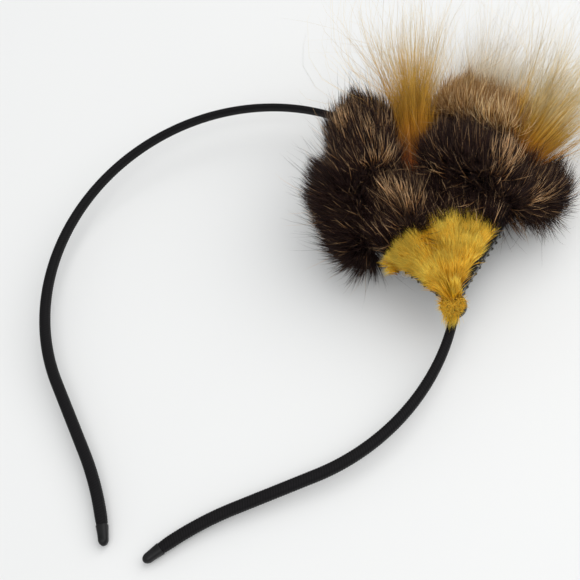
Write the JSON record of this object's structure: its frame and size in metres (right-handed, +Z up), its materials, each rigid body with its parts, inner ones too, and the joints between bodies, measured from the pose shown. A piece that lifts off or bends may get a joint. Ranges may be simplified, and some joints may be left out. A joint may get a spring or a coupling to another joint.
{
  "type": "fur hair band",
  "caption": "Slim fabric-covered hair band with a fan of dark, golden and pale fur sewn to one side of the crown.",
  "frame": {"origin": "centre of the head in the loop: the middle of the round part's inner arc, at half the band's width", "axes": "+Z up with the loop lying on a table, +Y from the tips towards the crown, +X to the side that carries the fur"},
  "size_m": [0.1577, 0.2121, 0.0388],
  "materials": {
    "woven_cover": "fine twill tube with a dull sheen",
    "spring_core": "drawn spring strip, hidden in the cover",
    "tip_cap": "smooth dark grey",
    "stiff_base": "stiffened black cloth",
    "black_felt": "matt pressed felt",
    "sewing_thread": "black twisted thread with paler flecks",
    "clear_thread": "clear nylon",
    "dark_fur": "dark brown fur with blond guard hairs",
    "brown_fur": "brown fur with blond guard hairs",
    "yellow_pile": "short dense golden yellow pile",
    "golden_fur": "long golden hair, orange at the root and pale at the tips",
    "pale_fur": "long wispy blond hair"
  },
  "bodies": {
    "crown": {"core_crown": "spring_core", "cover_crown": "woven_cover", "fan_base": "stiff_base", "base_lining": "black_felt", "edge_stitches": "sewing_thread", "keeper_crown": "black_felt", "keeper_upper": "black_felt", "keeper_middle": "black_felt", "keeper_lower": "black_felt", "thread_loop": "clear_thread", "left_top_lobe": "dark_fur", "left_bottom_lobe": "dark_fur", "middle_lobe": "dark_fur", "centre_lobe": "dark_fur", "right_lobe": "dark_fur", "centre_top_lobe": "brown_fur", "yellow_patch": "yellow_pile", "yellow_side_patch": "yellow_pile", "centre_plume": "golden_fur", "right_plume": "golden_fur", "back_plume": "pale_fur", "centre_binding": "sewing_thread", "right_binding": "sewing_thread", "back_binding": "sewing_thread"},
    "left_arm": {"core_left_arm": "spring_core", "cover_left_arm": "woven_cover", "left_tip_cap": "tip_cap"},
    "right_arm": {"core_right_arm": "spring_core", "cover_right_arm": "woven_cover", "right_tip_cap": "tip_cap"}
  },
  "joints": [
    {"name": "left_arm_flex", "type": "hinge", "parent": "crown", "child": "left_arm", "pos_m": [-0.05795, 0.03335, 0.00263], "axis": [0, 0.0785, -0.9969], "range_deg": [-1.5, 20], "stiffness_Nm_per_rad": 0.25},
    {"name": "right_arm_flex", "type": "hinge", "parent": "crown", "child": "right_arm", "pos_m": [0.06658, -0.0117, -0.00092], "axis": [0, -0.0785, 0.9969], "range_deg": [-1.5, 22], "stiffness_Nm_per_rad": 0.25}
  ]
}
